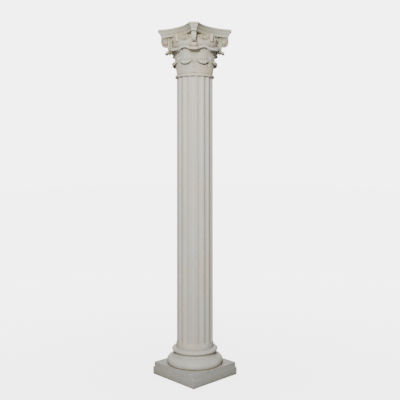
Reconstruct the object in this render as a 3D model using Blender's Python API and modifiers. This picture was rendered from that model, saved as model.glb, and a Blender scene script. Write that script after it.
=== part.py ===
"""Column pedestal: a stepped plinth, turned base mouldings, a fluted shaft and a carved capital.

Metres, +Z up. The column stands on z = 0, centred on the Z axis, with the plinth's sides along X and Y.
"""

import math

import bmesh
import bpy
from mathutils import Matrix, Vector

# Whole column
COLUMN_HEIGHT = 2.440
PIECE_GAP = 0.0003
TURNED_SIDES = 40
ROLL_SEGMENTS = 3
BELL_SIDES = 16

# Plinth: a square slab with a low step on it
PLINTH_SLAB_HEIGHT = 0.0544
PLINTH_STEP_HEIGHT = 0.0354
PLINTH_LEDGE = 0.0100
PLINTH_MARGIN = 0.0039
PLINTH_EDGE = 0.0020

# Base mouldings, from the bottom: lower roll, hollow, upper roll, plain band
LOWER_ROLL_RADIUS = 0.1997
LOWER_ROLL_SEAT = 0.1500
LOWER_ROLL_BELOW = 0.0249
LOWER_ROLL_ABOVE = 0.0416
HOLLOW_RADIUS = 0.1430
HOLLOW_HEIGHT = 0.0214
UPPER_ROLL_RADIUS = 0.1635
UPPER_ROLL_SEAT = 0.1460
UPPER_ROLL_BELOW = 0.0158
UPPER_ROLL_ABOVE = 0.0167
BAND_STANDS_OUT = 0.0045
BAND_HEIGHT = 0.0219
# How far round each roll turns from its widest line to its lower and upper edge, in degrees
LOWER_ROLL_TURNS = (60.0, 56.0)
UPPER_ROLL_TURNS = (41.0, 54.0)

# Shaft
SHAFT_FOOT_RADIUS = 0.1296
SHAFT_NECK_RADIUS = 0.1262
SHAFT_FOOT_FLARE = 0.0040
SHAFT_FOOT_FLARE_HEIGHT = 0.0160
RING_THICKNESS = 0.0170
RING_STANDS_OUT = 0.0118
RING_BELOW_TOP = 0.0012
RING_TURN = 78.0
FLUTE_COUNT = 16
FLUTE_DEPTH = 0.0090
FILLET_WIDTH = 0.0118
FLUTE_END_RISE = 0.0080
FLUTE_HEAD_RISE = 0.0020
FLUTE_HEAD_GAP = 0.0010
FLUTES_START = 0.0170
FLUTE_ROD_SIDES = 16
FLUTE_ROD_RINGS = 5
FLUTE_TURN = math.radians(-50.3)

# Capital: bell and abacus. A reach is measured out from the shaft's neck radius
CAPITAL_HEIGHT = 0.3140
BELL_FOOT_INSET = 0.0037
BELL_SPREAD = 0.0375
ABACUS_HEIGHT = 0.0530
ABACUS_FASCIA_HEIGHT = 0.0175
ABACUS_FILLET_HEIGHT = 0.0130
ABACUS_MIDDLE_REACH = 0.0308
ABACUS_HOLLOW_RADIUS = 0.2980
ABACUS_HORN_REACH = 0.1300
ABACUS_SIDE_INSET = 0.0180
ABACUS_HORN_INSET = 0.0240
ABACUS_QUIRK = 0.0012

# Capital: leaves, each as wide as its share of the neck less a gap, with its rise from the capital's foot
LEAF_COUNT = 8
LEAF_THICKNESS = 0.0075
LEAF_TIP_THICKNESS = 0.0125
LOWER_LEAF_RISE = 0.0825
LOWER_LEAF_REACH = 0.0300
LOWER_LEAF_GAP = 0.0041
UPPER_LEAF_RISE = 0.1570
UPPER_LEAF_REACH = 0.0680
UPPER_LEAF_GAP = 0.0291
LEAF_RIB = 0.0015
LEAF_NOTCH = 0.90
LEAF_TIP_ROUNDING = 0.10
CALYX_RISE = 0.1750
CALYX_REACH = 0.0530
CALYX_GAP = 0.0301
CALYX_DROOP = 0.0160

# Capital: corner scrolls, inner scrolls and the small upright between those
VOLUTE_RADIUS = 0.0325
VOLUTE_FACE_DEPTH = 0.0300
VOLUTE_WIDTH = 0.0300
VOLUTE_CORE_WIDTH = 0.0210
VOLUTE_BAND = 0.0092
VOLUTE_TURNS = 1.5
VOLUTE_TIGHTENING = 1.2
VOLUTE_THINNING = 0.35
VOLUTE_SQUARENESS = 4.0
VOLUTE_EYE_RADIUS = 0.0080
STEM_REACH = 0.0640
STEM_FOOT_RISE = 0.1480
STEM_LEAN = 0.0200
STEM_SHOULDER = 0.0120
HELIX_RADIUS = 0.0255
HELIX_STRETCH = 1.40
HELIX_REACH = 0.0418
HELIX_SPACING = 0.1220
HELIX_SIDES = 10
HELIX_RIM = 0.0070
HELIX_GROOVE = 0.0050
HELIX_EYE_SLOPE = 0.0080
UPRIGHT_WIDTH = 0.0200
UPRIGHT_REACH = 0.0530
UPRIGHT_HEIGHT = 0.0490

# How deep one carved form is sunk into the next, so that they become one body
BITE = 0.0020

# Leaf shapes as shares of the leaf's reach and rise, from its foot to the tip of its curl
LOWER_LEAF_PATH = [(-0.12, 0.03), (-0.07, 0.27), (0.05, 0.50), (0.18, 0.74), (0.42, 0.93),
                   (0.72, 1.00), (0.96, 0.95), (1.00, 0.85), (0.92, 0.73)]
UPPER_LEAF_PATH = [(-0.02, 0.30), (0.01, 0.46), (0.03, 0.57), (0.06, 0.66), (0.14, 0.765), (0.32, 0.88),
                   (0.54, 0.965), (0.76, 1.00), (0.93, 0.985), (1.00, 0.945), (0.975, 0.895)]
CALYX_PATH = [(0.10, 0.38), (0.15, 0.55), (0.20, 0.70), (0.30, 0.83), (0.50, 0.94), (0.76, 1.00),
              (0.95, 0.985), (1.00, 0.93)]
# How wide each leaf is from its foot to its tip, as shares of its widest
LOWER_LEAF_OUTLINE = [(1.0,), (1.0,), (0.98,), (0.88,), (0.74,)]
UPPER_LEAF_OUTLINE = [(0.66,), (0.88,), (0.95,), (1.0,), (0.96,)]
CALYX_OUTLINE = [(0.66,), (0.70,), (0.76,), (0.95,), (1.0,)]
# Sloping moulding of the abacus as shares of its way out and up, from the fascia to the fillet
ABACUS_SLOPE = [(0.06, 0.0), (0.42, 0.34), (0.72, 0.66), (1.0, 1.0)]
# Bell outline as shares of the way from its foot to its lip, outwards and upwards
BELL_PATH = [(0.0, 0.0), (0.10, 0.16), (0.17, 0.28), (0.24, 0.42), (0.45, 0.58), (0.85, 0.70),
             (1.0, 0.80), (0.95, 0.90), (0.80, 1.0)]

# Radii of the capital and widths of its leaves, all from the shaft's neck
BELL_FOOT_RADIUS = SHAFT_NECK_RADIUS - BELL_FOOT_INSET
BELL_LIP_RADIUS = BELL_FOOT_RADIUS + BELL_SPREAD
ABACUS_MIDDLE = SHAFT_NECK_RADIUS + ABACUS_MIDDLE_REACH
ABACUS_HORN = SHAFT_NECK_RADIUS + ABACUS_HORN_REACH
STEM_FRONT = SHAFT_NECK_RADIUS + STEM_REACH
HELIX_FRONT = SHAFT_NECK_RADIUS + HELIX_REACH
UPRIGHT_FRONT = SHAFT_NECK_RADIUS + UPRIGHT_REACH
LEAF_PITCH = math.tau * SHAFT_NECK_RADIUS / LEAF_COUNT
LOWER_LEAF_WIDTH = LEAF_PITCH - LOWER_LEAF_GAP
UPPER_LEAF_WIDTH = LEAF_PITCH - UPPER_LEAF_GAP
CALYX_WIDTH = LEAF_PITCH - CALYX_GAP

# Levels that follow from the sizes
PLINTH_HEIGHT = PLINTH_SLAB_HEIGHT + PLINTH_STEP_HEIGHT
BASE_FOOT = PLINTH_HEIGHT + PIECE_GAP
BASE_HEIGHT = (LOWER_ROLL_BELOW + LOWER_ROLL_ABOVE + HOLLOW_HEIGHT + UPPER_ROLL_BELOW
               + UPPER_ROLL_ABOVE + BAND_HEIGHT)
SHAFT_FOOT = BASE_FOOT + BASE_HEIGHT + PIECE_GAP
CAPITAL_FOOT = COLUMN_HEIGHT - CAPITAL_HEIGHT
SHAFT_HEIGHT = CAPITAL_FOOT - PIECE_GAP - SHAFT_FOOT
ABACUS_FOOT = COLUMN_HEIGHT - ABACUS_HEIGHT


def clear_scene():
    """Remove whatever the file holds."""
    for obj in list(bpy.data.objects):
        bpy.data.objects.remove(obj, do_unlink=True)


def new_collection(name):
    """A collection linked to the scene."""
    collection = bpy.data.collections.new(name)
    bpy.context.scene.collection.children.link(collection)
    return collection


def stone(name, colour, roughness):
    """A matte cast stone."""
    material = bpy.data.materials.new(name)
    material.use_nodes = True
    shader = material.node_tree.nodes["Principled BSDF"]
    shader.inputs["Base Color"].default_value = (*colour, 1.0)
    shader.inputs["Roughness"].default_value = roughness
    shader.inputs["Metallic"].default_value = 0.0
    return material


def object_from_bmesh(name, bm, collection):
    """Write a bmesh, with its faces turned outwards, into a new object."""
    bmesh.ops.recalc_face_normals(bm, faces=bm.faces)
    mesh = bpy.data.meshes.new(name)
    bm.to_mesh(mesh)
    bm.free()
    obj = bpy.data.objects.new(name, mesh)
    collection.objects.link(obj)
    return obj


def as_guide(obj):
    """Mark an object as one that only cuts or adds to another."""
    obj.hide_render = True
    obj.display_type = 'WIRE'
    return obj


def turned(name, profile, sides, collection):
    """A solid of revolution from (radius, height) points that run from the top to the bottom."""
    mesh = bpy.data.meshes.new(name)
    points = [(radius, 0.0, height) for radius, height in profile]
    edges = [(index, index + 1) for index in range(len(points) - 1)]
    mesh.from_pydata(points, edges, [])
    obj = bpy.data.objects.new(name, mesh)
    collection.objects.link(obj)
    screw = obj.modifiers.new("Turn", 'SCREW')
    screw.axis = 'Z'
    screw.angle = math.tau
    screw.steps = sides
    screw.render_steps = sides
    screw.use_merge_vertices = True
    screw.merge_threshold = 0.00001
    screw.use_smooth_shade = True
    return obj


def arc(centre, half_width, half_height, start, end, segments):
    """Points of an elliptical arc between two angles in degrees."""
    points = []
    for index in range(segments + 1):
        angle = math.radians(start + (end - start) * index / segments)
        points.append((centre[0] + half_width * math.cos(angle), centre[1] + half_height * math.sin(angle)))
    return points


def smooth_path(points, share):
    """A point on the smooth curve through the given points, with share running from 0 to 1."""
    place = min(max(share, 0.0), 1.0) * (len(points) - 1)
    index = min(int(place), len(points) - 2)
    t = place - index
    before = points[max(index - 1, 0)]
    start = points[index]
    end = points[index + 1]
    after = points[min(index + 2, len(points) - 1)]
    result = []
    for p0, p1, p2, p3 in zip(before, start, end, after):
        bend = 2 * p0 - 5 * p1 + 4 * p2 - p3
        twist = 3 * p1 - p0 - 3 * p2 + p3
        result.append(0.5 * (2 * p1 + (p2 - p0) * t + bend * t * t + twist * t * t * t))
    return result


def loft(name, rings, collection):
    """A closed solid through rings that all have the same number of points."""
    bm = bmesh.new()
    loops = [[bm.verts.new(point) for point in ring] for ring in rings]
    for lower, upper in zip(loops, loops[1:]):
        for index in range(len(lower)):
            following = (index + 1) % len(lower)
            bm.faces.new((lower[index], lower[following], upper[following], upper[index]))
    bm.faces.new(loops[0][::-1])
    bm.faces.new(loops[-1])
    return object_from_bmesh(name, bm, collection)


def upright_slab(name, outline, width, collection):
    """An outline of (out, up) points in the XZ plane, as a slab of the given width along Y."""
    rings = [[(x, y, z) for x, z in outline] for y in (-width / 2, width / 2)]
    return loft(name, rings, collection)


def boolean(obj, operation, operand):
    """Cut an object by, or join it with, every object of a collection."""
    modifier = obj.modifiers.new(operation.title(), 'BOOLEAN')
    modifier.operation = operation
    modifier.solver = 'EXACT'
    modifier.operand_type = 'COLLECTION'
    modifier.collection = operand


def copies_round(obj, angles, collection):
    """Turn an object to the first angle about Z, and add a copy that shares its mesh at each other one."""
    copies = [obj]
    for number, angle in enumerate(angles[1:], start=2):
        copy = obj.copy()
        copy.name = f"{obj.name}_{number}"
        collection.objects.link(copy)
        copies.append(copy)
    for copy, angle in zip(copies, angles):
        copy.matrix_world = Matrix.Rotation(angle, 4, 'Z') @ Matrix.Translation(copy.location)
        as_guide(copy)
    return copies


def make_plinth(collection):
    """The square slab, with a narrower step raised from its top face."""
    slab_half = LOWER_ROLL_RADIUS + PLINTH_MARGIN + PLINTH_LEDGE
    bm = bmesh.new()
    bmesh.ops.create_cube(bm, size=1.0)
    bmesh.ops.scale(bm, vec=(2 * slab_half, 2 * slab_half, PLINTH_SLAB_HEIGHT), verts=bm.verts)
    bmesh.ops.translate(bm, vec=(0.0, 0.0, PLINTH_SLAB_HEIGHT / 2), verts=bm.verts)
    top = [face for face in bm.faces if face.normal.z > 0.5]
    bmesh.ops.inset_region(bm, faces=top, thickness=PLINTH_LEDGE)
    raised = bmesh.ops.extrude_face_region(bm, geom=top)["geom"]
    bmesh.ops.delete(bm, geom=top, context='FACES_ONLY')
    raised_verts = [item for item in raised if isinstance(item, bmesh.types.BMVert)]
    bmesh.ops.translate(bm, vec=(0.0, 0.0, PLINTH_STEP_HEIGHT), verts=raised_verts)
    plinth = object_from_bmesh("plinth", bm, collection)
    bevel = plinth.modifiers.new("Soft edges", 'BEVEL')
    bevel.width = PLINTH_EDGE
    bevel.segments = 1
    bevel.limit_method = 'ANGLE'
    return plinth


def swell(widest, seat, height, end_angle):
    """Half of a roll, as (radius, rise) from its widest line to its edge on the seat radius."""
    end = math.radians(end_angle)
    points = []
    for index in range(ROLL_SEGMENTS + 1):
        angle = end * index / ROLL_SEGMENTS
        inward = (1.0 - math.cos(angle)) / (1.0 - math.cos(end))
        points.append((widest - (widest - seat) * inward, height * math.sin(angle) / math.sin(end)))
    return points


def base_profile():
    """The mouldings from the crease under the shaft down to the plinth."""
    band_radius = SHAFT_FOOT_RADIUS + BAND_STANDS_OUT
    upper_centre = BASE_HEIGHT - BAND_HEIGHT - UPPER_ROLL_ABOVE
    hollow_middle = LOWER_ROLL_BELOW + LOWER_ROLL_ABOVE + HOLLOW_HEIGHT / 2
    upper_down, upper_up = UPPER_ROLL_TURNS
    lower_down, lower_up = LOWER_ROLL_TURNS
    profile = [(0.0, BASE_HEIGHT), (band_radius, BASE_HEIGHT)]
    for radius, rise in reversed(swell(UPPER_ROLL_RADIUS, band_radius, UPPER_ROLL_ABOVE, upper_up)):
        profile.append((radius, upper_centre + rise))
    for radius, drop in swell(UPPER_ROLL_RADIUS, UPPER_ROLL_SEAT, UPPER_ROLL_BELOW, upper_down)[1:]:
        profile.append((radius, upper_centre - drop))
    profile.append((HOLLOW_RADIUS, hollow_middle))
    for radius, rise in reversed(swell(LOWER_ROLL_RADIUS, LOWER_ROLL_SEAT, LOWER_ROLL_ABOVE, lower_up)):
        profile.append((radius, LOWER_ROLL_BELOW + rise))
    for radius, drop in swell(LOWER_ROLL_RADIUS, LOWER_ROLL_SEAT, LOWER_ROLL_BELOW, lower_down)[1:]:
        profile.append((radius, LOWER_ROLL_BELOW - drop))
    profile.append((0.0, 0.0))
    return profile


def make_base(collection):
    """The turned mouldings, standing on the plinth."""
    base = turned("base", base_profile(), TURNED_SIDES, collection)
    base.location.z = BASE_FOOT
    return base


def shaft_profile():
    """The shaft from its top down: short neck, ring, taper and spreading foot."""
    ring_half = RING_THICKNESS / 2
    ring_centre = SHAFT_HEIGHT - RING_BELOW_TOP - ring_half
    ring_middle = (SHAFT_NECK_RADIUS + RING_STANDS_OUT - ring_half, ring_centre)
    profile = [(0.0, SHAFT_HEIGHT), (SHAFT_NECK_RADIUS, SHAFT_HEIGHT)]
    profile += arc(ring_middle, ring_half, ring_half, RING_TURN, -RING_TURN, 4)
    profile.append((SHAFT_NECK_RADIUS, ring_centre - ring_half))
    flare_steps = 2
    for index in range(flare_steps + 1):
        angle = math.pi / 2 * index / flare_steps
        radius = SHAFT_FOOT_RADIUS + SHAFT_FOOT_FLARE * (1.0 - math.cos(angle))
        profile.append((radius, SHAFT_FOOT_FLARE_HEIGHT * (1.0 - math.sin(angle))))
    profile.append((0.0, 0.0))
    return profile


def flute_cutter(collection):
    """A long rod that follows the taper, with a domed foot and an almost flat head, at angle 0."""
    foot = FLUTES_START + FLUTE_END_RISE
    head = SHAFT_HEIGHT - RING_BELOW_TOP - RING_THICKNESS - FLUTE_HEAD_GAP - FLUTE_HEAD_RISE
    pitch = math.tau * SHAFT_FOOT_RADIUS / FLUTE_COUNT
    half_angle = (pitch - FILLET_WIDTH) / SHAFT_FOOT_RADIUS / 2
    half_chord = SHAFT_FOOT_RADIUS * math.sin(half_angle)
    chord_depth = FLUTE_DEPTH - SHAFT_FOOT_RADIUS * (1.0 - math.cos(half_angle))
    rod_radius = (half_chord ** 2 + chord_depth ** 2) / (2.0 * chord_depth)
    # An odd number of rings leaves no ring on the ball's waist, so its halves part along straight sides
    ball_radius = rod_radius / math.cos(math.pi / FLUTE_ROD_RINGS / 2)
    full_rise = math.sqrt(rod_radius ** 2 - (rod_radius - chord_depth) ** 2)
    lean = (SHAFT_NECK_RADIUS - SHAFT_FOOT_RADIUS) / (SHAFT_HEIGHT - RING_THICKNESS)
    bm = bmesh.new()
    bmesh.ops.create_uvsphere(bm, u_segments=FLUTE_ROD_SIDES, v_segments=FLUTE_ROD_RINGS, radius=ball_radius)
    for vert in bm.verts:
        end, rise = (head, FLUTE_HEAD_RISE) if vert.co.z > 0.0 else (foot, FLUTE_END_RISE)
        vert.co.z = end + vert.co.z * rise / full_rise
        surface = SHAFT_FOOT_RADIUS + lean * vert.co.z
        vert.co.x += surface * math.cos(half_angle) + rod_radius - chord_depth
    cutter = object_from_bmesh("flute_cutter", bm, collection)
    cutter.location.z = SHAFT_FOOT
    return cutter


def make_shaft(collection):
    """The turned shaft, with its flutes cut from foot to ring."""
    shaft = turned("shaft", shaft_profile(), TURNED_SIDES, collection)
    shaft.location.z = SHAFT_FOOT
    flute_pitch = math.tau / FLUTE_COUNT
    cutters = new_collection("Flute cutters")
    angles = [FLUTE_TURN + flute_pitch * number for number in range(FLUTE_COUNT)]
    copies_round(flute_cutter(cutters), angles, cutters)
    boolean(shaft, 'DIFFERENCE', cutters)
    return shaft


def make_bell(collection):
    """The bell that the leaves are carved on, running up into the abacus."""
    top = ABACUS_FOOT + BITE - CAPITAL_FOOT
    profile = [(0.0, top)]
    for out, up in reversed(BELL_PATH):
        profile.append((BELL_FOOT_RADIUS + (BELL_LIP_RADIUS - BELL_FOOT_RADIUS) * out, top * up))
    profile.append((0.0, 0.0))
    bell = turned("capital", profile, BELL_SIDES, collection)
    bell.location.z = CAPITAL_FOOT
    return bell


def abacus_outline(side_inset, horn_inset, height):
    """The plan of the abacus at one height: four hollow sides between four cut corners."""
    side_steps = 6
    hollow_centre = ABACUS_MIDDLE + ABACUS_HOLLOW_RADIUS
    radius = ABACUS_HOLLOW_RADIUS + side_inset
    horn_reach = ABACUS_HORN - horn_inset
    along = horn_reach - hollow_centre * math.cos(math.pi / 4)
    half_cut = hollow_centre * math.sin(math.pi / 4) - math.sqrt(radius ** 2 - along ** 2)
    horn_side = (horn_reach - half_cut) * math.sin(math.pi / 4)
    sweep = math.asin(horn_side / radius)
    points = []
    for side in range(4):
        turn = Matrix.Rotation(side * math.pi / 2, 3, 'Z')
        for step in range(side_steps + 1):
            angle = -sweep + 2 * sweep * step / side_steps
            point = Vector((hollow_centre - radius * math.cos(angle), radius * math.sin(angle), height))
            points.append(turn @ point)
    return points


def make_abacus(collection):
    """The hollow-sided top slab: fascia, sloping moulding, small step and top fillet."""
    fascia_top = ABACUS_FOOT + ABACUS_FASCIA_HEIGHT
    fillet_foot = COLUMN_HEIGHT - ABACUS_FILLET_HEIGHT
    rings = [abacus_outline(ABACUS_SIDE_INSET, ABACUS_HORN_INSET, ABACUS_FOOT)]
    for out, up in ABACUS_SLOPE:
        height = fascia_top + (fillet_foot - fascia_top) * up
        inset = 1.0 - out
        side_inset = ABACUS_QUIRK + (ABACUS_SIDE_INSET - ABACUS_QUIRK) * inset
        horn_inset = ABACUS_QUIRK + (ABACUS_HORN_INSET - ABACUS_QUIRK) * inset
        rings.append(abacus_outline(side_inset, horn_inset, height))
    rings.append(abacus_outline(0.0, 0.0, fillet_foot + ABACUS_QUIRK))
    rings.append(abacus_outline(0.0, 0.0, COLUMN_HEIGHT))
    return as_guide(loft("abacus", rings, collection))


def leaf(name, path, reach, rise, width, outline, lobes, columns, droop, collection):
    """One curled leaf at angle 0: a grid wrapped round the column, bent on its path, thickest at its tip."""
    bm = bmesh.new()
    weights = bm.verts.layers.deform.new()
    bmesh.ops.create_grid(bm, x_segments=columns, y_segments=2 * lobes, size=1.0)
    for vert in bm.verts:
        across = vert.co.x
        share = (vert.co.y + 1.0) / 2
        row = round(share * 2 * lobes)
        on_edge = round(abs(across) * columns) == columns
        notch = LEAF_NOTCH if row % 2 and on_edge else 1.0
        half_width = width / 2 * smooth_path(outline, share)[0]
        tip_rounding = 1.0 - LEAF_TIP_ROUNDING * across ** 2 * share
        out, up = smooth_path(path, share * tip_rounding)
        side = across * half_width * notch
        radius = SHAFT_NECK_RADIUS + reach * out
        back = LEAF_RIB * (1.0 - 2.0 * abs(across))
        angle = side / radius
        height = rise * up - droop * across ** 2 * share ** 3
        vert.co = ((radius + back) * math.cos(angle), (radius + back) * math.sin(angle), height)
        thickness = LEAF_THICKNESS + (LEAF_TIP_THICKNESS - LEAF_THICKNESS) * share ** 3
        vert[weights][0] = thickness / LEAF_TIP_THICKNESS
    obj = object_from_bmesh(name, bm, collection)
    obj.location.z = CAPITAL_FOOT
    group = obj.vertex_groups.new(name="Thickness")
    wall = obj.modifiers.new("Wall", 'SOLIDIFY')
    wall.thickness = LEAF_TIP_THICKNESS
    wall.vertex_group = group.name
    wall.offset = 0.0
    return obj


def make_leaves(collection):
    """Two rows of eight leaves, and between the upper ones a row of small calyx leaves on their stalks."""
    step = math.tau / LEAF_COUNT
    on_corners = [step * number for number in range(LEAF_COUNT)]
    between = [angle + step / 2 for angle in on_corners]
    lower = leaf("lower_leaf", LOWER_LEAF_PATH, LOWER_LEAF_REACH, LOWER_LEAF_RISE, LOWER_LEAF_WIDTH,
                 LOWER_LEAF_OUTLINE, 3, 4, 0.0, collection)
    upper = leaf("upper_leaf", UPPER_LEAF_PATH, UPPER_LEAF_REACH, UPPER_LEAF_RISE, UPPER_LEAF_WIDTH,
                 UPPER_LEAF_OUTLINE, 3, 4, 0.0, collection)
    calyx = leaf("calyx", CALYX_PATH, CALYX_REACH, CALYX_RISE, CALYX_WIDTH, CALYX_OUTLINE, 2, 2,
                 CALYX_DROOP, collection)
    copies_round(lower, between, collection)
    copies_round(upper, on_corners, collection)
    copies_round(calyx, between, collection)


def volute_centre():
    """The middle of a corner scroll, out from the column's axis and up from its foot."""
    return ABACUS_HORN - ABACUS_HORN_INSET - VOLUTE_FACE_DEPTH, ABACUS_FOOT + BITE - VOLUTE_RADIUS


def volute_core(collection):
    """The web behind a corner scroll: a disc, square at its outer top, joined to the bell by its stem."""
    out, up = volute_centre()
    root = BELL_FOOT_RADIUS
    stem_foot = CAPITAL_FOOT + STEM_FOOT_RISE
    inner = VOLUTE_RADIUS - VOLUTE_BAND / 2
    outline = [(root, stem_foot - STEM_SHOULDER), (STEM_FRONT - STEM_LEAN, stem_foot),
               (STEM_FRONT, stem_foot + STEM_SHOULDER), (STEM_FRONT, up - inner)]
    outline += arc((out, up), inner, inner, -90.0, 0.0, 4)
    outline += [(out + inner, up + inner), (root, up + inner)]
    return upright_slab("volute_core", outline, VOLUTE_CORE_WIDTH, collection)


def volute_band(collection):
    """The raised band of a corner scroll: up its stem, over the top and inwards round the eye."""
    out, up = volute_centre()
    steps = 12
    stem_root = (out - VOLUTE_RADIUS - STEM_SHOULDER, up - 2 * VOLUTE_RADIUS)
    stem_middle = (out - VOLUTE_RADIUS - BITE, up - VOLUTE_RADIUS)
    line = [stem_root, stem_middle]
    start_radius = VOLUTE_RADIUS - VOLUTE_BAND / 2
    end_radius = VOLUTE_EYE_RADIUS + VOLUTE_BAND / 2
    for step in range(steps + 1):
        share = step / steps
        angle = math.pi - share * VOLUTE_TURNS * math.tau
        radius = start_radius + (end_radius - start_radius) * share ** VOLUTE_TIGHTENING
        if 0.0 < angle < math.pi / 2:
            # The outermost turn is squared here, so that it meets the face of the abacus above
            across = math.cos(angle) ** VOLUTE_SQUARENESS + math.sin(angle) ** VOLUTE_SQUARENESS
            radius /= across ** (1.0 / VOLUTE_SQUARENESS)
        line.append((out + radius * math.cos(angle), up + radius * math.sin(angle)))
    left = []
    right = []
    for index, point in enumerate(line):
        before = line[max(index - 1, 0)]
        after = line[min(index + 1, len(line) - 1)]
        along = (Vector(after) - Vector(before)).normalized()
        half = VOLUTE_BAND / 2 * (1.0 - VOLUTE_THINNING * index / (len(line) - 1))
        left.append((point[0] - along.y * half, point[1] + along.x * half))
        right.append((point[0] + along.y * half, point[1] - along.x * half))
    return upright_slab("volute_band", left + right[::-1], VOLUTE_WIDTH, collection)


def volute_eye(collection):
    """The round eye in the middle of a corner scroll."""
    out, up = volute_centre()
    outline = arc((out, up), VOLUTE_EYE_RADIUS, VOLUTE_EYE_RADIUS, 0.0, 315.0, 7)
    return upright_slab("volute_eye", outline, VOLUTE_WIDTH + BITE, collection)


def helix_scroll(collection):
    """An inner scroll at angle 0: a disc that faces outwards, with a rim, a groove and an eye."""
    back = BELL_FOOT_RADIUS
    centre_height = ABACUS_FOOT + BITE - HELIX_RADIUS
    bm = bmesh.new()
    bmesh.ops.create_cone(bm, cap_ends=True, segments=HELIX_SIDES, radius1=HELIX_RADIUS, radius2=HELIX_RADIUS,
                          depth=HELIX_FRONT - back)
    bmesh.ops.scale(bm, vec=(1.0, HELIX_STRETCH, 1.0), verts=bm.verts)
    front = [face for face in bm.faces if face.normal.z > 0.5]
    bmesh.ops.inset_region(bm, faces=front, thickness=HELIX_RIM)
    bmesh.ops.inset_region(bm, faces=front, thickness=BITE, depth=-HELIX_GROOVE)
    bmesh.ops.inset_region(bm, faces=front, thickness=HELIX_EYE_SLOPE, depth=HELIX_GROOVE)
    placing = Matrix.Translation(((back + HELIX_FRONT) / 2, 0.0, centre_height))
    bmesh.ops.transform(bm, matrix=placing @ Matrix.Rotation(math.pi / 2, 4, 'Y'), verts=bm.verts)
    return object_from_bmesh("helix", bm, collection)


def face_upright(collection):
    """The small upright between the two inner scrolls of a face, at angle 0."""
    bm = bmesh.new()
    bmesh.ops.create_cube(bm, size=1.0)
    depth = UPRIGHT_FRONT - BELL_FOOT_RADIUS
    bmesh.ops.scale(bm, vec=(depth, UPRIGHT_WIDTH, UPRIGHT_HEIGHT), verts=bm.verts)
    centre_height = ABACUS_FOOT + BITE - UPRIGHT_HEIGHT / 2
    bmesh.ops.translate(bm, vec=(BELL_FOOT_RADIUS + depth / 2, 0.0, centre_height), verts=bm.verts)
    return object_from_bmesh("upright", bm, collection)


def make_capital(collection):
    """The whole capital: everything carved on the bell, joined into one body."""
    carving = new_collection("Capital carving")
    capital = make_bell(collection)
    make_abacus(carving)
    make_leaves(carving)
    faces = [math.pi / 2 * number for number in range(4)]
    corners = [angle + math.pi / 4 for angle in faces]
    for maker in (volute_core, volute_band, volute_eye):
        copies_round(maker(carving), corners, carving)
    helix_turn = math.atan2(HELIX_SPACING / 2, HELIX_FRONT)
    helix_angles = [angle + side * helix_turn for angle in faces for side in (-1, 1)]
    copies_round(helix_scroll(carving), helix_angles, carving)
    copies_round(face_upright(carving), faces, carving)
    boolean(capital, 'UNION', carving)
    return capital


def main():
    clear_scene()
    column = new_collection("Column pedestal")
    pale = stone("Pale cast stone", (0.50, 0.475, 0.42), 0.85)
    warm = stone("Warm cast stone", (0.47, 0.44, 0.375), 0.85)
    cool = stone("Cool cast stone", (0.44, 0.43, 0.39), 0.85)
    finishes = {make_plinth: cool, make_base: pale, make_shaft: pale, make_capital: warm}
    for maker, finish in finishes.items():
        piece = maker(column)
        piece.data.materials.append(finish)


main()
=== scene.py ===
# %% [markdown]
# A fluted column pedestal in cast stone
# The real column is four castings that stand on each other: a stepped square plinth, a ring of turned
# mouldings, a fluted shaft and a carved capital. This lesson dresses the plain solids of that column.
# Each casting gets one finely shaped mesh in the same place, and a matte stone that looks cast.
#
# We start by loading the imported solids. They stay where they are, and every size below is either read
# from their boxes or named once, in metres, with Z pointing up.

# %% Load the solids and read their levels
import math

import bmesh
import bpy
from mathutils import Matrix, Vector


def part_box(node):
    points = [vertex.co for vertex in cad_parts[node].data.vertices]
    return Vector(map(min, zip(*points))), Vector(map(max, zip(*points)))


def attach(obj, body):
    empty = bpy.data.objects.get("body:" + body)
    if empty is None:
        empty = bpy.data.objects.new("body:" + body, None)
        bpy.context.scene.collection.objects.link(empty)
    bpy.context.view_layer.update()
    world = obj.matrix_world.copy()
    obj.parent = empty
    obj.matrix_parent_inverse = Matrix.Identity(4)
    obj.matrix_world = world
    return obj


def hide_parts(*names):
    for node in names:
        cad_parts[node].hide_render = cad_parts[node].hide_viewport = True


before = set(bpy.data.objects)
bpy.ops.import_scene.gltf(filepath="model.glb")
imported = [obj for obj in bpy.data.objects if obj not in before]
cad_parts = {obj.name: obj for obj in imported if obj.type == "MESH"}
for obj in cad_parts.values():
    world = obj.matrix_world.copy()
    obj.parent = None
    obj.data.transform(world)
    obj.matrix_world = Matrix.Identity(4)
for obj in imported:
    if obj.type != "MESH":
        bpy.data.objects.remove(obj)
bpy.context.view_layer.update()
plinth_low, plinth_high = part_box("plinth")
base_low, base_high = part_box("base")
shaft_low, shaft_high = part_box("shaft")
capital_low, capital_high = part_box("capital")
COLUMN_HEIGHT = capital_high.z
print(f"The column is {COLUMN_HEIGHT:.3f} m tall and {2 * plinth_high.x:.3f} m wide at the plinth")

# %% [markdown]
# The camera comes first
# The photograph looks at the column's corner from eye height. The plinth's corners, the slab's corners
# and the bends of the mouldings fix where the camera stood. It could be placed by eye and nudged, but a
# distance, a height and three angles say the same thing in numbers that can be checked.

# %% Stand the camera where the photograph was taken
CAMERA_TURN = math.radians(46.52)
CAMERA_DISTANCE = 4.1301
CAMERA_HEIGHT = 1.4702
LOOK_ASIDE = math.radians(0.508)
LOOK_TURN = CAMERA_TURN - LOOK_ASIDE
LOOK_DOWN = math.radians(2.981)
SENSOR_WIDTH = 36.0
LENS = 52.46

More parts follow.
